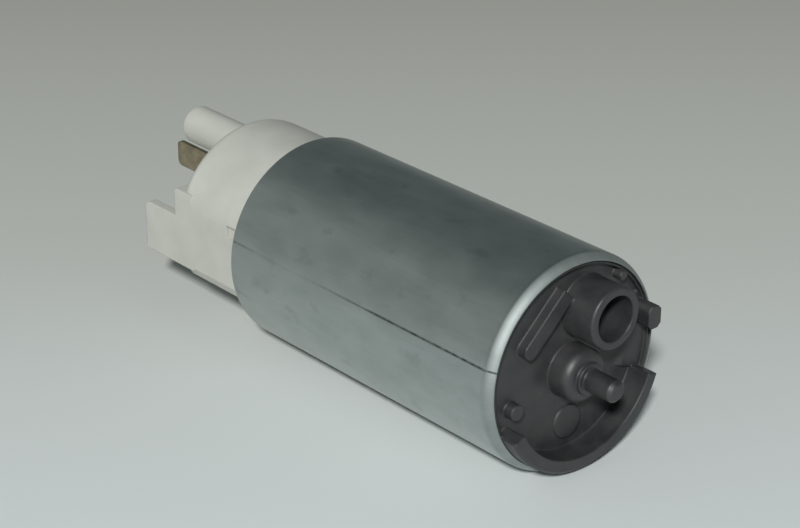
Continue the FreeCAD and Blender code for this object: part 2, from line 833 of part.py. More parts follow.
def make_armature():
    """Slotted core, its insulators, the copper in the slots and the flat commutator."""
    core_end = core_x + core_length
    body = doc.addObject("PartDesign::Body", "armature_core")
    pad(body, section(body, core_x, [(0, 0, core_radius)]), core_length)
    mouth = section(body, core_end, [[
        (slot_pitch_radius, S.slot_mouth / -2),
        (magnet_radius, S.slot_mouth / -2),
        (magnet_radius, S.slot_mouth / 2),
        (slot_pitch_radius, S.slot_mouth / 2),
    ]])
    mouth_cut = pocket(body, mouth, core_length)
    doc.recompute()
    ring_of(body, mouth_cut, SLOT_COUNT)
    slot_cut = pocket(body, section(body, core_end, [(slot_pitch_radius, 0, S.slot_radius)]), core_length)
    doc.recompute()
    ring_of(body, slot_cut, SLOT_COUNT)
    pocket(body, section(body, core_end, [(0, 0, S.shaft_radius)]), core_length)
    keep(body, "armature_core")

    bar_radius = S.slot_radius - S.winding_gap
    hole = bar_radius + S.winding_gap
    for label, start in (("armature_insulator_front", core_end),
                         ("armature_insulator_rear", core_x - S.insulator_thickness)):
        disc = doc.addObject("PartDesign::Body", label)
        pad(disc, section(disc, start, [(0, 0, insulator_radius)]), S.insulator_thickness)
        end = start + S.insulator_thickness
        cut = pocket(disc, section(disc, end, [(slot_pitch_radius, 0, hole)]), S.insulator_thickness)
        doc.recompute()
        ring_of(disc, cut, SLOT_COUNT)
        pocket(disc, section(disc, end, [(0, 0, S.shaft_radius)]), S.insulator_thickness)
        keep(disc, label)

    copper = doc.addObject("PartDesign::Body", "armature_windings")
    front = core_end + S.insulator_thickness
    back = core_x - S.insulator_thickness
    inner = S.winding_inner_radius
    turned(copper, end_turns(front, S.front_winding_length, inner))
    bar = pad(copper, section(copper, back, [(slot_pitch_radius, 0, bar_radius)]), front - back)
    doc.recompute()
    ring_of(copper, bar, SLOT_COUNT)
    turned(copper, end_turns(back, -S.rear_winding_length, inner))
    keep(copper, "armature_windings")

    plate = doc.addObject("PartDesign::Body", "commutator")
    turned(plate, [
        (commutator_x, S.shaft_radius),
        (commutator_x, S.commutator_hub_radius),
        (commutator_x, commutator_radius),
        (commutator_front_x, commutator_radius),
        (commutator_front_x, S.shaft_radius),
    ])
    half = S.commutator_slit / 2
    slit = section(plate, commutator_x, [[
        (S.commutator_hub_radius, -half),
        (core_radius, -half),
        (core_radius, half),
        (S.commutator_hub_radius, half),
    ]])
    slit_cut = pocket(plate, slit, S.commutator_thickness / 2, towards_inlet=True)
    doc.recompute()
    ring_of(plate, slit_cut, COMMUTATOR_BARS)
    keep(plate, "commutator")


def end_turns(face, length, inner):
    """Rounded bundle of end turns, from a face of the core outwards."""
    return [
        (face, inner),
        (face, winding_radius),
        (face + length * STRAIGHT_SHARE, winding_radius),
        (face + length, winding_radius - S.winding_round),
        (face + length, inner + S.winding_round / 2),
        (face + length * STRAIGHT_SHARE, inner),
    ]


def make_field():
    """Flux ring, two arc magnets and the two spring clips that spread them."""
    keep(tube(seat_radius, ring_bore, ring_back_x, body_back_x), "flux_ring")
    magnet_end = magnet_x + magnet_length
    for label, middle in (("magnet_upper", QUARTER_TURN), ("magnet_lower", -QUARTER_TURN)):
        turn = QUARTER_TURN + middle - MAGNET_ANGLE / 2
        outer = rod(ring_bore, magnet_x, magnet_end, angle=MAGNET_ANGLE, turn=turn)
        inner = rod(magnet_radius, magnet_x - CUT_PAST, magnet_end + CUT_PAST)
        keep(minus(outer, inner), label)
    clip_sweep = HALF_TURN - MAGNET_ANGLE - CLIP_PLAY_ANGLE
    leg_root = ring_bore - S.clip_depth
    for label, middle in (("magnet_clip_right", 0.0), ("magnet_clip_left", HALF_TURN)):
        body = doc.addObject("PartDesign::Body", label)
        strip = [
            (magnet_x, ring_bore - S.clip_thickness),
            (magnet_x, ring_bore),
            (magnet_end, ring_bore),
            (magnet_end, ring_bore - S.clip_thickness),
        ]
        turned(body, strip, start=middle - clip_sweep / 2, sweep=clip_sweep)
        leg = [
            (magnet_x, leg_root),
            (magnet_x, ring_bore - S.clip_overlap),
            (magnet_end, ring_bore - S.clip_overlap),
            (magnet_end, leg_root),
        ]
        leg_sweep = math.degrees(S.clip_thickness.value / ring_bore.value)
        turned(body, leg, start=middle - clip_sweep / 2, sweep=leg_sweep)
        turned(body, leg, start=middle + clip_sweep / 2 - leg_sweep, sweep=leg_sweep)
        keep(body, label)


def brush_box(body, station, width, height, side):
    """A rectangle round a brush's line, in the frame turned to the brushes."""
    middle = brush_pitch_radius * side
    return section(body, station, [[
        (middle - width / 2, height / -2),
        (middle + width / 2, height / -2),
        (middle + width / 2, height / 2),
        (middle - width / 2, height / 2),
    ]], turn=BRUSH_ANGLE)


def make_outlet_cap():
    """White moulded cap: skirt, domed body, outlet tube, latch tab, connector seat, brush holders."""
    body = doc.addObject("PartDesign::Body", "outlet_cap")
    turned(body, [
        (ring_back_x, cap_skirt_bore),
        (ring_back_x, seat_radius),
        (cap_rim_x, seat_radius),
        (cap_rim_x, cap_radius),
        (cap_end_x, cap_radius),
        (cap_end_x, 0),
        (cap_wall_x, 0),
        (cap_wall_x, cap_cavity_radius),
        (cap_rim_x, cap_cavity_radius),
        (cap_rim_x + S.skirt_slope, cap_skirt_bore),
    ])
    seal_x = cap_rim_x + S.seal_setback
    seal_start = seal_x - S.seal_wire_radius - S.seal_side_gap
    seal_end = seal_x + S.seal_wire_radius + S.seal_side_gap
    turned(body, [
        (seal_start, casing_bore - S.seal_wire_radius * 2),
        (seal_start, S.casing_radius),
        (seal_end, S.casing_radius),
        (seal_end, casing_bore - S.seal_wire_radius * 2),
    ], cut=True)
    outside_x = -near_end - S.seat_gap
    for reach, turn in ((cap_flat, 180.0), (cap_chord, CHORD_ANGLE)):
        flat = section(body, outside_x, [[
            (reach, -cap_radius),
            (S.casing_radius, -cap_radius),
            (S.casing_radius, cap_radius),
            (reach, cap_radius),
        ]], turn=turn)
        pocket(body, flat, S.cap_reach + S.lip_thickness)
    flat_top = math.sqrt(cap_radius.value ** 2 - cap_flat.value ** 2)
    round_line(body, (0, -cap_flat, flat_top), ALONG_X, S.cap_side_round)
    round_end(body, cap_end_x, S.cap_edge_radius)

    hub_length = hub_front_x - cap_wall_x
    pad(body, section(body, hub_front_x, [(0, 0, hub_radius)]), hub_length, towards_outlet=True)
    for side in (1, -1):
        around = S.holder_wall * 2 + S.brush_slide_gap * 2
        holder = brush_box(body, ring_back_x, brush_width + around, brush_height + around, side)
        pad(body, holder, S.holder_length, towards_outlet=True)
    for side in (1, -1):
        play = S.brush_slide_gap * 2
        channel = brush_box(body, ring_back_x, brush_width + play, brush_height + play, side)
        pocket(body, channel, S.holder_length - S.holder_wall)
        lead_hole = section(body, holder_back_x + S.holder_wall,
                            [(brush_pitch_radius * side, 0, S.lead_radius + S.side_gap)], turn=BRUSH_ANGLE)
        pocket(body, lead_hole, S.holder_wall)
    bush_seat = section(body, hub_front_x, [(0, 0, bearing_radius)])
    pocket(body, bush_seat, S.rear_bearing_length + S.bush_end_gap)

    tube_spot = (S.tube_y, tube_z)
    housing = section(body, chamber_start_x, [tube_spot + (S.valve_housing_radius,)])
    pad(body, housing, S.valve_chamber_depth, towards_outlet=True)
    nozzle = section(body, cap_wall_x, [tube_spot + (S.tube_radius,)])
    pad(body, nozzle, S.tube_reach + S.cap_end_wall, towards_outlet=True)
    round_edge(body, cap_end_x - S.tube_reach, S.tube_radius, S.tube_round, tube_spot)
    chamber = section(body, chamber_start_x, [tube_spot + (S.valve_chamber_radius,)])
    pocket(body, chamber, S.valve_chamber_depth)
    through = S.valve_chamber_depth + S.cap_end_wall + S.tube_reach
    pocket(body, section(body, chamber_start_x, [tube_spot + (S.tube_bore_radius,)]), through)

    relief_spot = (S.relief_y, relief_z)
    relief_front_x = cap_wall_x + S.relief_housing_depth
    pad(body, section(body, relief_front_x, [relief_spot + (S.relief_housing_radius,)]),
        S.relief_housing_depth, towards_outlet=True)
    bore = section(body, cap_end_x, [relief_spot + (S.relief_bore_radius,)])
    pocket(body, bore, S.relief_bore_depth, towards_inlet=True)
    port = section(body, cap_end_x, [relief_spot + (S.relief_port_radius,)])
    pocket(body, port, S.cap_end_wall + S.relief_housing_depth, towards_inlet=True)

    for depth, top, reach, corner in (
            (S.seat_block_depth, S.seat_block_top, S.seat_block_reach, S.seat_block_round),
            (S.latch_thickness, S.latch_top, S.latch_reach, S.latch_round)):
        inner = cap_flat - depth
        outline = section(body, cap_wall_x, [[
            (-cap_flat, S.latch_bottom),
            (-inner, S.latch_bottom),
            (-inner, top),
            (-cap_flat, top),
        ]])
        pad(body, outline, S.cap_end_wall + reach, towards_outlet=True)
        round_line(body, (cap_end_x - reach, -cap_flat, top), ALONG_Y, corner)
    notch = section(body, outside_x, [[
        (-S.casing_radius, S.notch_bottom),
        (S.notch_depth - cap_flat, S.notch_bottom),
        (S.notch_depth - cap_flat, S.notch_top),
        (-S.casing_radius, S.notch_top),
    ]])
    pocket(body, notch, S.notch_length)

    for tang_z in (S.upper_tang_z, S.lower_tang_z):
        half = S.tang_height / 2
        thick = S.terminal_thickness / 2
        slot = section(body, cap_wall_x, [[
            (terminal_y - thick, tang_z - half),
            (terminal_y + thick, tang_z - half),
            (terminal_y + thick, tang_z + half),
            (terminal_y - thick, tang_z + half),
        ]])
        pocket(body, slot, S.cap_end_wall)
    keep(body, "outlet_cap")

    seal_bore = casing_bore - S.seal_wire_radius * 2
    keep(tube(casing_bore, seal_bore, seal_x - S.seal_wire_radius, seal_x + S.seal_wire_radius), "cap_seal")


def make_terminals():
    """Brass blades that stand on the cap, each with a tang through the end wall and a choke."""
    tip_x = cap_end_x - S.terminal_reach
    root_x = cap_wall_x + S.tang_depth
    half_y = S.terminal_thickness / 2
    rows = (("upper", S.upper_terminal_z, S.upper_tang_z, upper_choke_y, upper_choke_z),
            ("lower", S.lower_terminal_z, S.lower_tang_z, terminal_y, lower_choke_z))
    for name, blade_z, tang_z, choke_y, choke_z in rows:
        body = doc.addObject("PartDesign::Body", "terminal_" + name)
        blade = section(body, cap_end_x, [[
            (terminal_y - half_y, blade_z - S.terminal_height / 2),
            (terminal_y + half_y, blade_z - S.terminal_height / 2),
            (terminal_y + half_y, blade_z + S.terminal_height / 2),
            (terminal_y - half_y, blade_z + S.terminal_height / 2),
        ]])
        pad(body, blade, S.terminal_reach, towards_outlet=True)
        for edge_z in (blade_z - S.terminal_height / 2, blade_z + S.terminal_height / 2):
            round_line(body, (tip_x, terminal_y, edge_z), ALONG_Y, S.terminal_round)
        tang = section(body, root_x, [[
            (terminal_y - half_y, tang_z - S.tang_height / 2),
            (terminal_y + half_y, tang_z - S.tang_height / 2),
            (terminal_y + half_y, tang_z + S.tang_height / 2),
            (terminal_y - half_y, tang_z + S.tang_height / 2),
        ]])
        pad(body, tang, root_x - cap_end_x, towards_outlet=True)
        keep(body, "terminal_" + name)
        choke = doc.addObject("PartDesign::Body", "choke_" + name)
        end = root_x + S.choke_length
        turned(choke, [
            (root_x, 0),
            (root_x, S.choke_core_radius),
            (root_x + S.choke_shoulder, S.choke_core_radius),
            (root_x + S.choke_shoulder, S.choke_radius),
            (end - S.choke_shoulder, S.choke_radius),
            (end - S.choke_shoulder, S.choke_core_radius),
            (end, S.choke_core_radius),
            (end, 0),
        ], centre=(choke_y, choke_z))
        keep(choke, "choke_" + name)


def brush_centre(side):
    angle = math.radians(BRUSH_ANGLE)
    reach = brush_pitch_radius * side
    return reach * math.cos(angle), reach * math.sin(angle)


def make_brushes():
    """Carbon brushes with their springs and pigtails, which slide in the cap's holders."""
    brush_back = brush_x - S.brush_length
    spring_end = holder_back_x + S.holder_wall
    choke_x = cap_wall_x + S.tang_depth + S.choke_length
    turn_x = holder_back_x.value - S.lead_turn_gap.value
    rows = (("left", -1, upper_choke_y, upper_choke_z, []),
            ("right", 1, terminal_y, lower_choke_z, [(S.lead_route_y.value, lead_route_z.value)]))
    for name, side, choke_y, choke_z, waypoints in rows:
        body = doc.addObject("PartDesign::Body", "brush_" + name)
        pad(body, brush_box(body, brush_x, brush_width, brush_height, side), S.brush_length,
            towards_outlet=True)
        keep(body, "brush_" + name)
        middle = brush_centre(side)
        spot = (middle[0].value, middle[1].value)
        outside = brush_width / 2 - S.brush_slide_gap
        keep(tube(outside, outside - S.brush_wire_radius * 2, spring_end, brush_back, middle),
             "brush_spring_" + name)
        points = [V(brush_back.value, *spot), V(turn_x, *spot)]
        points += [V(turn_x, *waypoint) for waypoint in waypoints]
        points += [V(turn_x, choke_y.value, choke_z.value), V(choke_x.value, choke_y.value, choke_z.value)]
        set_shape("brush_lead_" + name, wire_shape(points, S.lead_bend.value, S.lead_radius.value))


def make_valves():
    """Outlet check valve and pressure relief valve, each with its spring."""
    spot = (S.tube_y, tube_z)
    seat_end = chamber_start_x - S.valve_seat_length
    seat = tube(S.valve_chamber_radius, S.valve_seat_bore, seat_end, chamber_start_x, spot)
    keep(seat, "check_valve_seat")
    body = doc.addObject("PartDesign::Body", "check_valve_plunger")
    head_x = seat_end - S.seat_gap
    turned(body, [
        (head_x + S.valve_nose, 0),
        (head_x + S.valve_nose, S.valve_seat_bore - S.valve_nose),
        (head_x, S.valve_seat_bore - S.valve_nose_gap),
        (head_x, S.valve_head_radius),
        (head_x - S.valve_head_length, S.valve_head_radius),
        (head_x - S.valve_head_length, S.valve_stem_radius),
        (head_x - S.valve_head_length - S.valve_stem_length, S.valve_stem_radius),
        (head_x - S.valve_head_length - S.valve_stem_length, 0),
    ], centre=spot)
    keep(body, "check_valve_plunger")
    head_back = head_x - S.valve_head_length
    spring_radius = S.valve_head_radius - S.valve_spring_inset
    spring = tube(spring_radius, spring_radius - S.valve_wire_radius * 2, chamber_end_x, head_back, spot)
    keep(spring, "check_valve_spring")

    relief = (S.relief_y, relief_z)
    floor_x = cap_end_x + S.relief_bore_depth
    drop = math.sqrt(S.relief_ball_radius.value ** 2 - S.relief_port_radius.value ** 2)
    ball = doc.addObject("Part::Sphere", "Ball")
    ball_x = floor_x - drop - S.seat_gap
    bind(ball, Radius=S.relief_ball_radius, Placement__Base__x=ball_x,
         Placement__Base__y=S.relief_y, Placement__Base__z=relief_z)
    keep(ball, "relief_valve_ball")
    retainer_end = cap_end_x + S.relief_retainer_length
    retainer = tube(S.relief_bore_radius, S.relief_retainer_bore, cap_end_x, retainer_end, relief)
    keep(retainer, "relief_valve_retainer")
    spring_bore = S.relief_ball_radius - S.relief_wire_radius * 2
    rise = math.sqrt(S.relief_ball_radius.value ** 2 - spring_bore.value ** 2)
    spring = tube(S.relief_ball_radius, spring_bore, retainer_end, ball_x - rise, relief)
    keep(spring, "relief_valve_spring")


def write_parts():
    doc.recompute()
    for item in doc.Objects:
        if "Invalid" in item.State or "Error" in item.State:
            raise RuntimeError("failed: %s (%s) %s" % (item.Name, item.Label, item.State))
    os.makedirs("parts", exist_ok=True)
    for piece in finished:
        shape = piece.Shape
        if shape.isNull() or not shape.isValid() or not shape.Solids:
            raise RuntimeError("bad shape: " + piece.Label)
        shape.exportStep("parts/%s.step" % piece.Label)
        print("%-26s %2d solid(s) %9.2f mm3" % (piece.Label, len(shape.Solids), shape.Volume))


make_casing()
make_inlet_cover()
make_pump_body()
make_impeller()
make_shaft()
make_bearings()
make_armature()
make_field()
make_outlet_cap()
make_terminals()
make_brushes()
make_valves()
write_parts()
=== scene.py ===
import math

import bmesh
import bpy
from mathutils import Matrix, Vector


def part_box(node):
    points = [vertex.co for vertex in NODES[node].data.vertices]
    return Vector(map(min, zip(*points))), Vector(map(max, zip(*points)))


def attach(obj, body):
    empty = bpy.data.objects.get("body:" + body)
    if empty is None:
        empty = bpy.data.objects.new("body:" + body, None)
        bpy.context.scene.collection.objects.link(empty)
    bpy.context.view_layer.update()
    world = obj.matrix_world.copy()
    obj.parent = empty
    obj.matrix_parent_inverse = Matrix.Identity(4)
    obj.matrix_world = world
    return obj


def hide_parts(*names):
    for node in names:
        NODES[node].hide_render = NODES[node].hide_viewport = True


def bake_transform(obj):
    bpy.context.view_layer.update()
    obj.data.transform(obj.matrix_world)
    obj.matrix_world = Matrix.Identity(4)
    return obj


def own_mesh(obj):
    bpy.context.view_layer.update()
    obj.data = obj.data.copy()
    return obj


# In-tank electric fuel pump, in metres. The pump's axis is X and the inlet end points along +X.
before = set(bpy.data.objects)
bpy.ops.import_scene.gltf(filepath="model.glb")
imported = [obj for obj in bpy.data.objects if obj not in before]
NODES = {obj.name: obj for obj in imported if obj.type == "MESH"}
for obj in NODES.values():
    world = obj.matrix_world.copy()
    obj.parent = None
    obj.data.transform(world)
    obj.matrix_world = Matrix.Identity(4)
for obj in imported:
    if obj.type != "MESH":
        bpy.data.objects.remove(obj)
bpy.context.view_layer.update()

MM = 0.001

# The rolled casing, with the sizes of the CAD tube apart from the fuller roll of its inlet lip
CASING_RADIUS = 19.0 * MM
CASING_BORE = 18.3 * MM
CASING_HALF = 33.9 * MM
LIP_THICKNESS = 0.7 * MM
LIP_BORE = 17.9 * MM
INLET_ROLL = 2.4 * MM
INLET_INNER_ROLL = 0.8 * MM
OUTLET_ROLL = 0.9 * MM
ROLL_STEPS = 10
WALL_STEP = 4.0 * MM
CASING_SIDES = 240
DULL_LIP_START = 31.0 * MM
DULL_LIP_FULL = 32.2 * MM

# The lengthwise seam where the edges of the strip meet, on the side that the photograph shows
SEAM_ANGLE = math.radians(165.6)
SEAM_HALF_WIDTH = 0.2 * MM
SEAM_DEPTH = 0.07 * MM
SEAM_FADE_START = 8.0 * MM
SEAM_FADE_END = -12.0 * MM
SEAM_LEFT_OVER = 0.12
SEAM_FAR_MARK = -26.0 * MM
SEAM_FAR_MARK_FADE = 3.0 * MM
SEAM_HALF_ANGLE = SEAM_HALF_WIDTH / CASING_RADIUS
GRIME_EDGE = 0.32 * MM
GRIME_CORE = 0.06 * MM

# Round wires and strands are drawn with this many sides, and edges sharper than this are kept sharp
WIRE_SIDES = 8
SHARP_EDGE = math.radians(32)

# The springs' end turns lie close, and each turn is drawn in this many steps
END_TURNS = 0.9
TURN_STEPS = 18
CLOSE_PITCH_IN_WIRES = 2.05

# The table, the room and the photograph's view of them
FLOOR_Z = -CASING_RADIUS
FLOOR_REACH = 4.0
# Where the table's painted light falloff starts in front and ends behind, along FRONT_TO_BACK
PAINTED_FALLOFF_FRONT = -0.05
PAINTED_FALLOFF_BACK = 0.22
FRONT_TO_BACK = (-0.755, 0.656, 0.0)
TO_PALE_WALL = (-0.6, -0.6, -0.5)
TO_WINDOW = (0.55, -0.6, 0.58)
VIEW_AZIMUTH = math.radians(48.999)
VIEW_ELEVATION = math.radians(24.959)
VIEW_DISTANCE = 0.3854
VIEW_ASIDE = -0.006305
VIEW_RAISED = 0.005745
LENS_MM = 100.89


# Finishes

def linear(hex_colour):
    """Turn an sRGB hex colour into the linear values that Blender takes."""
    channels = [int(hex_colour[i:i + 2], 16) / 255 for i in (1, 3, 5)]
    return tuple(c / 12.92 if c <= 0.04045 else ((c + 0.055) / 1.055) ** 2.4 for c in channels) + (1.0,)


def add(tree, kind, settings=None, links=None):
    """Add a shader node. Settings are its properties, inputs or ramp stops; links feed its inputs."""
    node = tree.nodes.new("ShaderNode" + kind)
    for name, value in (settings or {}).items():
        if name == "stops":
            for stop, (position, colour) in zip(node.color_ramp.elements, value):
                stop.position = position
                stop.color = linear(colour)
            for position, colour in value[2:]:
                node.color_ramp.elements.new(position).color = linear(colour)
        elif isinstance(name, int) or name in node.inputs:
            node.inputs[name].default_value = value
        else:
            setattr(node, name, value)
    for name, source in (links or {}).items():
        socket = source if isinstance(source, bpy.types.NodeSocket) else source.outputs[0]
        tree.links.new(socket, node.inputs[name])
    return node


def new_material(name, surface, **fixed):
    """A material whose shader takes fixed values, and patterns that surface makes in its node tree."""
    material = bpy.data.materials.new(name)
    material.use_nodes = True
    tree = material.node_tree
    tree.nodes.clear()
    settings = {key.replace("_", " "): value for key, value in fixed.items()}
    patterns = {key.replace("_", " "): source for key, source in surface(tree).items()}
    shader = add(tree, "BsdfPrincipled", settings, patterns)
    add(tree, "OutputMaterial", links={"Surface": shader})
    return material


def grain(tree, size_mm, stretch=(1, 1, 1), detail=3.0):
    """Noise with grains of a real size, stretched along X, Y or Z, between 0 and 1."""
    place = add(tree, "TexCoord")
    scaled = add(tree, "Mapping", {"Scale": tuple(1 / s for s in stretch)},
                 {"Vector": place.outputs["Object"]})
    return add(tree, "TexNoise", {"Scale": 1 / (size_mm * MM), "Detail": detail}, {"Vector": scaled})


def band_scale(spacing_mm):
    """Scale at which the bands of a wave pattern repeat at a real spacing: they repeat 20 times in 2 pi."""
    return 2 * math.pi / (20 * spacing_mm * MM)


def relief(tree, edge_mm, height=None, depth_mm=0.0, strength=1.0):
    """The surface's normal: edges softened to a real radius, with a pattern's relief on top of it."""
    edge = add(tree, "Bevel", {"samples": 6, "Radius": edge_mm * MM})
    if height is None:
        return edge
    return add(tree, "Bump", {"Strength": strength, "Distance": depth_mm * MM},
               {"Height": height, "Normal": edge})


def seam_grime(tree):
    """Grime in the casing's seam: broken and soft, thinning out towards the outlet end."""
    place = add(tree, "TexCoord")
    tangent = (0.0, -math.sin(SEAM_ANGLE), math.cos(SEAM_ANGLE))
    across = add(tree, "VectorMath", {"operation": "DOT_PRODUCT", 1: tangent}, {0: place.outputs["Object"]})
    distance = add(tree, "Math", {"operation": "ABSOLUTE"}, {0: across.outputs["Value"]})
    line = add(tree, "MapRange", {"From Min": GRIME_EDGE, "From Max": GRIME_CORE}, {"Value": distance})
    parts = add(tree, "SeparateXYZ", links={0: place.outputs["Object"]})
    side = add(tree, "Math", {"operation": "LESS_THAN", 1: 0.0}, {0: parts.outputs["Y"]})
    near = add(tree, "Math", {"operation": "MULTIPLY"}, {0: line, 1: side})
    along = add(tree, "MapRange", {"From Min": SEAM_FADE_END, "From Max": SEAM_FADE_START,
                                   "To Min": SEAM_LEFT_OVER}, {"Value": parts.outputs["X"]})
    far_end = SEAM_FAR_MARK - SEAM_FAR_MARK_FADE
    far = add(tree, "MapRange", {"From Min": SEAM_FAR_MARK, "From Max": far_end, "To Max": 0.5},
              {"Value": parts.outputs["X"]})
    either = add(tree, "Math", {"operation": "MAXIMUM"}, {0: along, 1: far})
    dirt = add(tree, "MapRange", {"From Min": 0.35, "From Max": 0.65, "To Min": 0.55, "To Max": 0.95},
               {"Value": grain(tree, 1.2)})
    filled = add(tree, "Math", {"operation": "MULTIPLY"}, {0: either, 1: dirt})
    return add(tree, "Math", {"operation": "MULTIPLY"}, {0: near, 1: filled})


def zinc_plated_steel(tree):
    """Rolled strip steel, bright zinc plated: blue-grey satin, faint smudges, streaks from the rolling.
    The streaks are finer on the strip, and 0.5 mm wide here so that they show.
    The roller that closed the lip left it darker and duller, so its highlight is broad."""
    smudges = grain(tree, 4.0, stretch=(2.0, 1, 1), detail=6.0)
    streaks = grain(tree, 0.5, stretch=(30, 1, 1), detail=2.0)
    both = add(tree, "Math", {"operation": "MULTIPLY_ADD", 1: 0.3}, {0: streaks, 2: smudges})
    plating = add(tree, "ValToRGB", {"stops": [(0.38, "#A4ACAA"), (0.62, "#ADB4B2"), (0.88, "#B5BCBA")]},
                  {"Fac": both})
    scuffs = grain(tree, 3.0, stretch=(1.6, 1, 1), detail=8.0)
    marks = add(tree, "MapRange", {"From Min": 0.6, "From Max": 0.82, "To Max": 0.32}, {"Value": scuffs})
    parts = add(tree, "SeparateXYZ", links={0: add(tree, "TexCoord").outputs["Object"]})
    lip = add(tree, "MapRange", {"From Min": DULL_LIP_START, "From Max": DULL_LIP_FULL, "To Max": 0.66},
              {"Value": parts.outputs["X"]})
    rubbed = add(tree, "Math", {"operation": "MULTIPLY", 1: 0.3}, {0: lip})
    worn = add(tree, "Math", {"operation": "MAXIMUM"}, {0: marks, 1: rubbed})
    grime = add(tree, "Math", {"operation": "MAXIMUM"}, {0: worn, 1: seam_grime(tree)})
    colour = add(tree, "Mix", {"data_type": "RGBA", 7: linear("#39403F")}, {0: grime, 6: plating})
    satin = add(tree, "MapRange", {"From Min": 0.3, "From Max": 0.7, "To Min": 0.36, "To Max": 0.39},
                {"Value": smudges})
    rough = add(tree, "Math", {"operation": "MAXIMUM"}, {0: satin, 1: lip})
    normal = relief(tree, 0.2, streaks, depth_mm=0.006, strength=0.2)
    return {"Base Color": colour.outputs[2], "Roughness": rough, "Normal": normal}


def oiled_mild_steel(tree):
    """Drawn mild steel ring with a film of oil: plain grey with fine lines along it, drawn 0.4 mm wide."""
    lines = grain(tree, 0.4, stretch=(20, 1, 1))
    colour = add(tree, "ValToRGB", {"stops": [(0.35, "#6F7376"), (0.65, "#85898C")]}, {"Fac": lines})
    rough = add(tree, "MapRange", {"From Min": 0.3, "From Max": 0.7, "To Min": 0.3, "To Max": 0.45},
                {"Value": lines})
    return {"Base Color": colour, "Roughness": rough, "Normal": relief(tree, 0.15, lines, 0.01, 0.3)}


def glass_filled_pps(tree):
    """Moulded glass-filled polyphenylene sulphide: charcoal, satin, dull brownish flow marks, fine grain.
    The fibres are 0.01 mm thick and 0.3 mm long, and only their length shows."""
    flow = grain(tree, 4.0, detail=4.0)
    fibres = grain(tree, 0.3, detail=2.0)
    colour = add(tree, "ValToRGB", {"stops": [(0.32, "#252627"), (0.52, "#2D2E2F"), (0.72, "#353433")]},
                 {"Fac": flow})
    rough = add(tree, "MapRange", {"From Min": 0.3, "From Max": 0.7, "To Min": 0.42, "To Max": 0.56},
                {"Value": flow})
    return {"Base Color": colour, "Roughness": rough, "Normal": relief(tree, 0.5, fibres, 0.02, 0.3)}


def natural_acetal(tree):
    """Moulded natural acetal: milky white, satin, slightly translucent, with soft edges."""
    flow = grain(tree, 8.0)
    fine = grain(tree, 0.4, detail=2.0)
    colour = add(tree, "ValToRGB", {"stops": [(0.35, "#ABACA4"), (0.65, "#B3B4AC")]}, {"Fac": flow})
    rough = add(tree, "MapRange", {"From Min": 0.3, "From Max": 0.7, "To Min": 0.36, "To Max": 0.46},
                {"Value": flow})
    return {"Base Color": colour, "Roughness": rough, "Normal": relief(tree, 0.25, fine, 0.01, 0.2)}


def phenolic_moulding(tree):
    """Moulded phenolic resin: dark brown, close and even, with the dull polish of a pressed part.
    Its wood flour is finer than 0.1 mm, and drawn at 0.5 mm so that it shows."""
    flour = grain(tree, 0.5)
    colour = add(tree, "ValToRGB", {"stops": [(0.35, "#2B211C"), (0.65, "#3B2E27")]}, {"Fac": flour})
    rough = add(tree, "MapRange", {"To Min": 0.38, "To Max": 0.52}, {"Value": flour})
    return {"Base Color": colour, "Roughness": rough, "Normal": relief(tree, 0.12, flour, 0.01, 0.3)}


def sintered_bronze(tree):
    """Pressed and sintered bronze: dull gold, peppered with open pores.
    Real pores are about 0.03 mm wide, and drawn at 0.18 mm so that they show."""
    pores = grain(tree, 0.18, detail=4.0)
    colour = add(tree, "ValToRGB", {"stops": [(0.3, "#5C4326"), (0.42, "#8C6838"), (0.7, "#A07A46")]},
                 {"Fac": pores})
    rough = add(tree, "MapRange", {"To Min": 0.6, "To Max": 0.4}, {"Value": pores})
    return {"Base Color": colour, "Roughness": rough, "Normal": relief(tree, 0.12, pores, 0.02, 0.5)}


def ground_steel(tree):
    """Hardened and ground steel: bright, with grinding lines round it, drawn 0.1 mm wide to show."""
    lines = grain(tree, 0.1, stretch=(1, 25, 25), detail=2.0)
    colour = add(tree, "ValToRGB", {"stops": [(0.35, "#9A9DA0"), (0.65, "#B2B5B8")]}, {"Fac": lines})
    rough = add(tree, "MapRange", {"To Min": 0.14, "To Max": 0.26}, {"Value": lines})
    return {"Base Color": colour, "Roughness": rough, "Normal": relief(tree, 0.08, lines, 0.002, 0.2)}


def drawn_spring_steel(tree):
    """Drawn spring wire and strip: dark bright steel with faint draw marks, drawn 0.3 mm wide to show."""
    marks = grain(tree, 0.3, stretch=(6, 1, 1))
    colour = add(tree, "ValToRGB", {"stops": [(0.35, "#7A7D80"), (0.65, "#94979A")]}, {"Fac": marks})
    rough = add(tree, "MapRange", {"To Min": 0.22, "To Max": 0.36}, {"Value": marks})
    return {"Base Color": colour, "Roughness": rough, "Normal": relief(tree, 0.05, marks, 0.003, 0.2)}


def laminated_electrical_steel(tree):
    """Stack of stamped sheets 0.5 mm thick: dark grey, with a thin line between one sheet and the next."""
    place = add(tree, "TexCoord")
    sheets = add(tree, "TexWave", {"wave_type": "BANDS", "bands_direction": "X",
                                   "Scale": band_scale(0.5), "Distortion": 0.0},
                 {"Vector": place.outputs["Object"]})
    scale = grain(tree, 0.4)
    line = add(tree, "MapRange", {"From Min": 0.0, "From Max": 0.25}, {"Value": sheets.outputs["Fac"]})
    steel = add(tree, "ValToRGB", {"stops": [(0.35, "#4A4D52"), (0.65, "#62666B")]}, {"Fac": scale})
    colour = add(tree, "Mix", {"data_type": "RGBA", 6: linear("#1E2022")}, {0: line, 7: steel})
    rough = add(tree, "MapRange", {"To Min": 0.36, "To Max": 0.55}, {"Value": scale})
    return {"Base Color": colour.outputs[2], "Roughness": rough,
            "Normal": relief(tree, 0.08, line, 0.03, 0.5)}


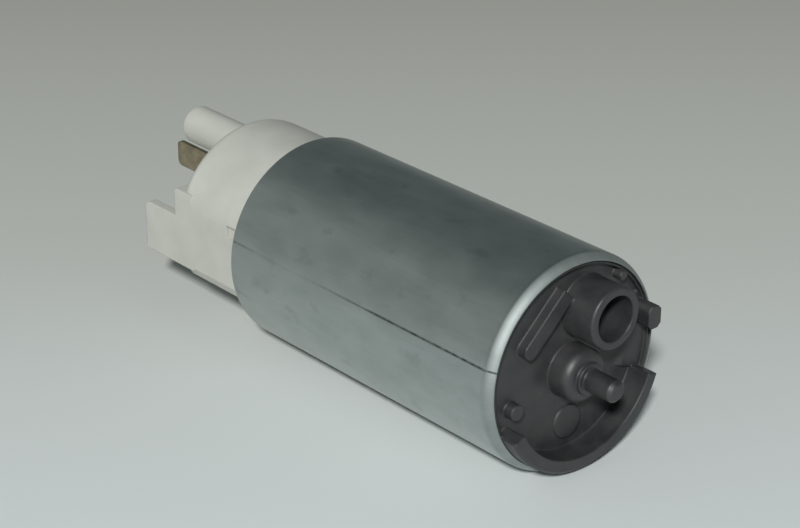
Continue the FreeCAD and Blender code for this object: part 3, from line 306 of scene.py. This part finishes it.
def vulcanised_fibre(tree):
    """Stamped red vulcanised fibre: brick red, matt, with short paper fibres."""
    fibres = grain(tree, 0.3, stretch=(1, 4, 1))
    colour = add(tree, "ValToRGB", {"stops": [(0.35, "#6B2A1D"), (0.65, "#853B2B")]}, {"Fac": fibres})
    rough = add(tree, "MapRange", {"To Min": 0.55, "To Max": 0.7}, {"Value": fibres})
    return {"Base Color": colour, "Roughness": rough, "Normal": relief(tree, 0.08, fibres, 0.02, 0.4)}


def enamelled_copper_wire(tree):
    """Wound wire 0.5 mm thick in clear enamel: glossy red-brown, round wires side by side."""
    place = add(tree, "TexCoord")
    wires = add(tree, "TexWave", {"wave_type": "BANDS", "bands_direction": "DIAGONAL",
                                  "Scale": band_scale(0.5), "Distortion": 1.5, "Detail": 1.0},
                {"Vector": place.outputs["Object"]})
    lay = grain(tree, 1.5)
    colour = add(tree, "ValToRGB", {"stops": [(0.3, "#7E3C1E"), (0.7, "#B26A3C")]}, {"Fac": lay})
    rough = add(tree, "MapRange", {"To Min": 0.2, "To Max": 0.34}, {"Value": lay})
    return {"Base Color": colour, "Roughness": rough,
            "Normal": relief(tree, 0.2, wires.outputs["Fac"], 0.12, 0.7)}


def turned_copper(tree):
    """Turned copper bars: pink copper, darker where the brushes run, with rings from the lathe.
    The rings are finer on the real face, and drawn 0.25 mm apart so that they show."""
    place = add(tree, "TexCoord")
    rings = add(tree, "TexWave", {"wave_type": "RINGS", "rings_direction": "X",
                                  "Scale": band_scale(0.25)}, {"Vector": place.outputs["Object"]})
    wear = grain(tree, 1.0, stretch=(1, 3, 3))
    colour = add(tree, "ValToRGB", {"stops": [(0.35, "#8E5538"), (0.65, "#B87A56")]}, {"Fac": wear})
    rough = add(tree, "MapRange", {"To Min": 0.22, "To Max": 0.4}, {"Value": wear})
    return {"Base Color": colour, "Roughness": rough,
            "Normal": relief(tree, 0.1, rings.outputs["Fac"], 0.004, 0.3)}


def stranded_copper(tree):
    """Stranded copper pigtail: bare wires 0.05 mm thick, drawn as coarse as 0.15 mm so that they show."""
    strands = grain(tree, 0.15, stretch=(4, 1, 1), detail=2.0)
    colour = add(tree, "ValToRGB", {"stops": [(0.35, "#8A4E30"), (0.65, "#C28660")]}, {"Fac": strands})
    rough = add(tree, "MapRange", {"To Min": 0.36, "To Max": 0.5}, {"Value": strands})
    return {"Base Color": colour, "Roughness": rough, "Normal": relief(tree, 0.05, strands, 0.08, 0.8)}


def sintered_ferrite(tree):
    """Sintered ferrite: near-black ceramic with a ground skin and a faint sparkle of grains.
    Real grains are a few thousandths of a millimetre wide, and drawn at 0.4 mm so that they show."""
    grains = grain(tree, 0.4, detail=4.0)
    colour = add(tree, "ValToRGB", {"stops": [(0.35, "#29292B"), (0.65, "#3A3A3C")]}, {"Fac": grains})
    rough = add(tree, "MapRange", {"To Min": 0.42, "To Max": 0.62}, {"Value": grains})
    return {"Base Color": colour, "Roughness": rough, "Normal": relief(tree, 0.25, grains, 0.02, 0.4)}


def pressed_carbon(tree):
    """Pressed carbon brush: black with the soft grey shine of graphite, its flakes drawn 0.2 mm wide."""
    flakes = grain(tree, 0.2, detail=4.0)
    colour = add(tree, "ValToRGB", {"stops": [(0.35, "#1C1C1E"), (0.65, "#2E2E30")]}, {"Fac": flakes})
    rough = add(tree, "MapRange", {"To Min": 0.35, "To Max": 0.55}, {"Value": flakes})
    return {"Base Color": colour, "Roughness": rough, "Normal": relief(tree, 0.15, flakes, 0.01, 0.3)}


def tinned_brass(tree):
    """Stamped brass blade, tin plated and dulled: warm grey with brown showing through."""
    wear = grain(tree, 1.6, detail=4.0)
    colour = add(tree, "ValToRGB", {"stops": [(0.35, "#978B74"), (0.65, "#AFA48D")]}, {"Fac": wear})
    rough = add(tree, "MapRange", {"To Min": 0.34, "To Max": 0.48}, {"Value": wear})
    return {"Base Color": colour, "Roughness": rough, "Normal": relief(tree, 0.15, wear, 0.005, 0.2)}


def turned_brass(tree):
    """Turned free-cutting brass: yellow and bright, with lines round it, drawn 0.15 mm wide to show."""
    lines = grain(tree, 0.15, stretch=(1, 15, 15))
    colour = add(tree, "ValToRGB", {"stops": [(0.35, "#A98A4A"), (0.65, "#C6A765")]}, {"Fac": lines})
    rough = add(tree, "MapRange", {"To Min": 0.2, "To Max": 0.34}, {"Value": lines})
    return {"Base Color": colour, "Roughness": rough, "Normal": relief(tree, 0.1, lines, 0.004, 0.3)}


def fluorocarbon_rubber(tree):
    """Moulded fluorocarbon rubber seal: black, wet-looking from the fuel, with a dull bloom."""
    bloom = grain(tree, 1.2, detail=4.0)
    colour = add(tree, "ValToRGB", {"stops": [(0.35, "#171719"), (0.65, "#252527")]}, {"Fac": bloom})
    rough = add(tree, "MapRange", {"To Min": 0.35, "To Max": 0.6}, {"Value": bloom})
    return {"Base Color": colour, "Roughness": rough, "Normal": relief(tree, 0.2, bloom, 0.005, 0.2)}


def matt_laminate_with_painted_falloff(tree):
    """Matt laminate of one even colour, with painted light falloff: cool white in front, darker warm grey
    behind.
    """
    place = add(tree, "TexCoord")
    depth = add(tree, "VectorMath", {"operation": "DOT_PRODUCT", 1: FRONT_TO_BACK},
                {0: place.outputs["Object"]})
    across = add(tree, "MapRange", {"From Min": PAINTED_FALLOFF_FRONT, "From Max": PAINTED_FALLOFF_BACK},
                 {"Value": depth.outputs["Value"]})
    # Painted light falloff: the colour darkens and warms from front to back
    return {"Base Color": add(tree, "ValToRGB", {"stops": [(0.0, "#D3D9D9"), (0.4, "#B9BCB7"),
                                                           (1.0, "#9E9F98")]}, {"Fac": across})}


ZINC = new_material("zinc_plated_rolled_steel", zinc_plated_steel, Metallic=1.0)
COPPER_STRANDS = new_material("stranded_copper", stranded_copper, Metallic=1.0)
SPRING_WIRE = new_material("drawn_spring_steel", drawn_spring_steel, Metallic=1.0)
FINISHES = [
    (ZINC, ["casing_tube"]),
    (new_material("oiled_mild_steel", oiled_mild_steel, Metallic=1.0), ["flux_ring"]),
    (new_material("moulded_glass_filled_pps", glass_filled_pps, IOR=1.6), ["inlet_cover", "pump_body"]),
    (new_material("moulded_natural_acetal", natural_acetal, IOR=1.48, Subsurface_Weight=0.15,
                  Subsurface_Radius=(1.0, 0.9, 0.7), Subsurface_Scale=1.5 * MM),
     ["outlet_cap", "check_valve_plunger", "rear_washer"]),
    (new_material("moulded_phenolic", phenolic_moulding, IOR=1.6), ["impeller"]),
    (new_material("sintered_bronze", sintered_bronze, Metallic=1.0), ["front_bearing", "rear_bearing"]),
    (new_material("ground_hardened_steel", ground_steel, Metallic=1.0),
     ["shaft", "thrust_button", "relief_valve_ball"]),
    (SPRING_WIRE, ["magnet_clip_right", "magnet_clip_left", "brush_spring_left", "brush_spring_right",
                   "check_valve_spring", "relief_valve_spring"]),
    (new_material("laminated_electrical_steel", laminated_electrical_steel, Metallic=1.0),
     ["armature_core"]),
    (new_material("vulcanised_fibre", vulcanised_fibre),
     ["armature_insulator_front", "armature_insulator_rear"]),
    (new_material("enamelled_copper_wire", enamelled_copper_wire, Metallic=1.0), ["armature_windings"]),
    (new_material("turned_copper", turned_copper, Metallic=1.0), ["commutator"]),
    (COPPER_STRANDS, ["brush_lead_left", "brush_lead_right"]),
    (new_material("sintered_ferrite", sintered_ferrite, IOR=1.9),
     ["magnet_upper", "magnet_lower", "choke_upper", "choke_lower"]),
    (new_material("pressed_carbon", pressed_carbon, IOR=1.9), ["brush_left", "brush_right"]),
    (new_material("tinned_brass", tinned_brass, Metallic=1.0), ["terminal_upper", "terminal_lower"]),
    (new_material("turned_brass", turned_brass, Metallic=1.0),
     ["check_valve_seat", "relief_valve_retainer"]),
    (new_material("fluorocarbon_rubber", fluorocarbon_rubber, IOR=1.4), ["cap_seal"]),
]


def finish_cad_pieces():
    """Give every CAD piece the material that the real one is made of."""
    for finish, names in FINISHES:
        for name in names:
            mesh = NODES[name].data
            mesh.materials.clear()
            mesh.materials.append(finish)


# Casing

def roll(centre_x, centre_r, radius, start, end):
    """Points (x, radius) round a rolled edge, from one angle to another."""
    points = []
    for step in range(ROLL_STEPS + 1):
        angle = start + (end - start) * step / ROLL_STEPS
        points.append((centre_x + radius * math.cos(angle), centre_r + radius * math.sin(angle)))
    return points


def casing_profile():
    """Outline of the casing's wall: over the inlet lip, through the bore, round the outlet lip and back."""
    quarter = math.pi / 2
    outside = CASING_RADIUS - INLET_ROLL
    lip_angle = math.asin((LIP_BORE - outside) / INLET_ROLL)
    inlet_lip = roll(CASING_HALF - INLET_ROLL, outside, INLET_ROLL, quarter, lip_angle)
    inside = CASING_BORE - INLET_INNER_ROLL
    inner_angle = math.asin((LIP_BORE - inside) / INLET_INNER_ROLL)
    inner_edge = CASING_HALF - LIP_THICKNESS - INLET_INNER_ROLL
    inner_lip = roll(inner_edge, inside, INLET_INNER_ROLL, inner_angle, quarter)
    far_lip = [(LIP_THICKNESS - CASING_HALF, CASING_BORE), (LIP_THICKNESS - CASING_HALF, LIP_BORE),
               (-CASING_HALF, LIP_BORE)]
    far_roll = roll(OUTLET_ROLL - CASING_HALF, CASING_RADIUS - OUTLET_ROLL, OUTLET_ROLL, math.pi, quarter)
    length = CASING_HALF * 2 - INLET_ROLL - OUTLET_ROLL
    count = round(length / WALL_STEP)
    wall = [(OUTLET_ROLL - CASING_HALF + length * step / count, CASING_RADIUS) for step in range(1, count)]
    return inlet_lip + inner_lip + far_lip + far_roll + wall


def casing_angles():
    """Directions round the axis: even all round, and closer together across the seam."""
    even = [2 * math.pi * step / CASING_SIDES for step in range(CASING_SIDES)]
    clear = [angle for angle in even if abs(angle - SEAM_ANGLE) > SEAM_HALF_ANGLE * 2.5]
    across = [SEAM_ANGLE + SEAM_HALF_ANGLE * part for part in (-1.5, -1.0, -0.5, 0.0, 0.5, 1.0, 1.5)]
    return sorted(clear + across)


def build_casing():
    """The casing with its rolled lips and the seam as a groove that gets shallower towards the outlet."""
    mesh_builder = bmesh.new()
    rings = []
    for angle in casing_angles():
        nearness = max(0.0, 1.0 - abs(angle - SEAM_ANGLE) / SEAM_HALF_ANGLE)
        ring = []
        for x, radius in casing_profile():
            kept = (x - SEAM_FADE_END) / (SEAM_FADE_START - SEAM_FADE_END)
            fade = min(1.0, max(SEAM_LEFT_OVER, kept))
            on_outside = radius > CASING_RADIUS - INLET_ROLL / 2
            sunk = radius - (SEAM_DEPTH * nearness * fade if on_outside else 0.0)
            ring.append(mesh_builder.verts.new((x, sunk * math.cos(angle), sunk * math.sin(angle))))
        rings.append(ring)
    for ring, following in zip(rings, rings[1:] + rings[:1]):
        for number in range(len(ring)):
            other = (number + 1) % len(ring)
            mesh_builder.faces.new((ring[number], ring[other], following[other], following[number]))
    bmesh.ops.recalc_face_normals(mesh_builder, faces=mesh_builder.faces)
    return finish_piece("casing_tube_with_seam", mesh_builder, ZINC, "pump", "casing_tube")


def finish_piece(name, mesh_builder, material, body, *nodes):
    """Turn a built mesh into a smooth piece that stands for CAD nodes, riding on a body if one is named."""
    mesh = bpy.data.meshes.new(name)
    mesh_builder.to_mesh(mesh)
    mesh_builder.free()
    mesh.materials.append(material)
    mesh.polygons.foreach_set("use_smooth", [True] * len(mesh.polygons))
    mesh.set_sharp_from_angle(angle=SHARP_EDGE)
    piece = bpy.data.objects.new(name, mesh)
    bpy.context.scene.collection.objects.link(piece)
    if body:
        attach(piece, body)
    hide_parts(*nodes)
    return piece


# Springs and pigtails

def steps_along(points):
    """Each point of a line, with two directions square to the line that turn no more than it does."""
    across = Vector((0, 0, 1))
    for number, point in enumerate(points):
        ahead = points[min(number + 1, len(points) - 1)]
        behind = points[max(number - 1, 0)]
        tangent = (ahead - behind).normalized()
        across = (across - tangent * across.dot(tangent)).normalized()
        yield point, across, tangent.cross(across)


def wire_along(mesh_builder, points, radius):
    """Add a round wire that follows points, closed at both ends."""
    rings = []
    for point, across, other in steps_along(points):
        ring = []
        for side in range(WIRE_SIDES):
            angle = 2 * math.pi * side / WIRE_SIDES
            offset = across * (radius * math.cos(angle)) + other * (radius * math.sin(angle))
            ring.append(mesh_builder.verts.new(point + offset))
        rings.append(ring)
    for ring, following in zip(rings, rings[1:]):
        for side in range(WIRE_SIDES):
            neighbour = (side + 1) % WIRE_SIDES
            mesh_builder.faces.new((ring[side], ring[neighbour], following[neighbour], following[side]))
    mesh_builder.faces.new(list(reversed(rings[0])))
    mesh_builder.faces.new(rings[-1])


def helix(centre, radius, wire, start, end, turns):
    """Points of a compression spring along X. The turn at each end lies close against its neighbour."""
    close_pitch = wire * CLOSE_PITCH_IN_WIRES
    free_turns = turns - END_TURNS * 2
    free_pitch = (end - start - wire * 2 - close_pitch * END_TURNS * 2) / free_turns
    points = []
    for step in range(round(turns * TURN_STEPS) + 1):
        turn = step / TURN_STEPS
        free = min(max(turn - END_TURNS, 0.0), free_turns)
        x = start + wire + close_pitch * (turn - free) + free_pitch * free
        angle = 2 * math.pi * turn
        y = centre[0] + radius * math.cos(angle)
        z = centre[1] + radius * math.sin(angle)
        points.append(Vector((x, y, z)))
    return points


# Each spring: CAD node, joint, wire radius, turns, and how far its joint travels
SPRINGS = [
    ("brush_spring_left", "brush_left_slide", 0.24 * MM, 8.5, 4.0 * MM),
    ("brush_spring_right", "brush_right_slide", 0.24 * MM, 8.5, 4.0 * MM),
    ("check_valve_spring", "check_valve_lift", 0.24 * MM, 7.5, 2.5 * MM),
    ("relief_valve_spring", "relief_valve_lift", 0.2 * MM, 6.0, 1.0 * MM),
]


def build_springs():
    """Coil springs in place of the plain sleeves."""
    for node, joint, wire, turns, travel in SPRINGS:
        low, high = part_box(node)
        centre = ((low[1] + high[1]) / 2, (low[2] + high[2]) / 2)
        radius = (high[1] - low[1]) / 2 - wire
        mesh_builder = bmesh.new()
        wire_along(mesh_builder, helix(centre, radius, wire, low[0], high[0], turns), wire)
        piece = finish_piece(node + "_coil", mesh_builder, SPRING_WIRE, "pump", node)
        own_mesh(piece)


# Each brush pigtail's route in mm: from the brush's back, out through the holder's, round to the choke
PIGTAILS = {
    "left": [(-23.8, -4.95, 4.95), (-37.6, -4.95, 4.95), (-37.6, -7.2, 8.6), (-40.0, -7.2, 8.6)],
    "right": [(-23.8, 4.95, -4.95), (-37.6, 4.95, -4.95), (-37.6, -1.0, -10.4), (-37.6, -8.5, -3.6),
              (-40.0, -8.5, -3.6)],
}
PIGTAIL_BEND = 1.0 * MM
BEND_STEPS = 8
STRAND_STEP = 0.25 * MM
STRANDS = 4
STRAND_RADIUS = 0.18 * MM
STRAND_OFFSET = 0.26 * MM
STRAND_TURN = 2.6 * MM


def bent_route(corners, bend):
    """Points along straight runs that are joined by smooth bends, closely and evenly spaced."""
    path = [corners[0]]
    for before, corner, after in zip(corners, corners[1:], corners[2:]):
        into = corner - (corner - before).normalized() * bend
        out = corner + (after - corner).normalized() * bend
        for step in range(BEND_STEPS + 1):
            t = step / BEND_STEPS
            path.append(into * (1 - t) ** 2 + corner * 2 * t * (1 - t) + out * t ** 2)
    path.append(corners[-1])
    points = []
    for begin, finish in zip(path, path[1:]):
        count = max(1, round((finish - begin).length / STRAND_STEP))
        points += [begin.lerp(finish, step / count) for step in range(count)]
    return points + [path[-1]]


def twisted_strand(route, phase):
    """One strand of a pigtail, winding round the route."""
    points = []
    travelled = 0.0
    last = route[0]
    for point, across, other in steps_along(route):
        travelled += (point - last).length
        angle = phase + 2 * math.pi * travelled / STRAND_TURN
        offset = across * math.cos(angle) + other * math.sin(angle)
        points.append(point + offset * STRAND_OFFSET)
        last = point
    return points


def build_pigtails():
    """Pigtails of twisted copper strands."""
    for side, corners in PIGTAILS.items():
        route = bent_route([Vector(corner) * MM for corner in corners], PIGTAIL_BEND)
        mesh_builder = bmesh.new()
        for strand in range(STRANDS):
            phase = 2 * math.pi * strand / STRANDS
            wire_along(mesh_builder, twisted_strand(route, phase), STRAND_RADIUS)
        piece = finish_piece("brush_lead_" + side + "_strands", mesh_builder, COPPER_STRANDS, None,
                             "brush_lead_" + side)
        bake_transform(piece)


# Table, light and view

def add_floor():
    """A pale table top with painted light falloff, a little warmer and darker behind the pump than in front
    of it.
    """
    mesh = bpy.data.meshes.new("table_top")
    corners = [(x * FLOOR_REACH, y * FLOOR_REACH, FLOOR_Z) for x, y in ((-1, -1), (1, -1), (1, 1), (-1, 1))]
    mesh.from_pydata(corners, [], [(0, 1, 2, 3)])
    floor = bpy.data.objects.new("table_top", mesh)
    bpy.context.scene.collection.objects.link(floor)
    mesh.materials.append(new_material("table_top_with_painted_falloff", matt_laminate_with_painted_falloff, Roughness=0.8,
                                       Specular_IOR_Level=0.2))


def add_lamp(name, towards, strength, spread_degrees):
    """A soft lamp so far off that it lights the whole table evenly."""
    data = bpy.data.lights.new(name, "SUN")
    data.energy = strength
    data.angle = math.radians(spread_degrees)
    lamp = bpy.data.objects.new(name, data)
    lamp.rotation_mode = "QUATERNION"
    lamp.rotation_quaternion = Vector(towards).to_track_quat("Z", "Y")
    bpy.context.scene.collection.objects.link(lamp)


def set_world():
    """A dim room with a paler wall low down beyond the outlet end, which the casing's side shows softly."""
    world = bpy.data.worlds.new("room")
    bpy.context.scene.world = world
    world.use_nodes = True
    tree = world.node_tree
    tree.nodes.clear()
    place = add(tree, "TexCoord")
    nearness = add(tree, "VectorMath", {"operation": "DOT_PRODUCT", 1: TO_PALE_WALL},
                   {0: place.outputs["Generated"]})
    walls = add(tree, "ValToRGB", {"stops": [(0.06, "#606868"), (0.4, "#9A9F9D")]},
                {"Fac": nearness.outputs["Value"]})
    room = add(tree, "Background", {"Strength": 1.0}, {"Color": walls})
    add(tree, "OutputWorld", links={"Surface": room})


def add_camera():
    """The photograph's view: a long lens, 49 degrees round from the pump's side and 25 degrees up."""
    right = Vector((math.cos(VIEW_AZIMUTH), math.sin(VIEW_AZIMUTH), 0))
    level = math.cos(VIEW_ELEVATION)
    height = math.sin(VIEW_ELEVATION)
    back = Vector((math.sin(VIEW_AZIMUTH) * level, -math.cos(VIEW_AZIMUTH) * level, height))
    up = back.cross(right)
    data = bpy.data.cameras.new("camera")
    data.sensor_width = 36.0
    data.lens = LENS_MM
    data.clip_start = 0.01
    data.clip_end = 20.0
    camera = bpy.data.objects.new("camera", data)
    place = back * VIEW_DISTANCE + right * VIEW_ASIDE + up * VIEW_RAISED
    camera.matrix_world = Matrix.Translation(place) @ Matrix((right, up, back)).transposed().to_4x4()
    bpy.context.scene.collection.objects.link(camera)
    bpy.context.scene.camera = camera


finish_cad_pieces()
build_casing()
build_springs()
build_pigtails()
add_floor()
set_world()
add_lamp("window", TO_WINDOW, strength=3.65, spread_degrees=6.0)
add_camera()
bpy.context.scene.view_settings.view_transform = "Standard"
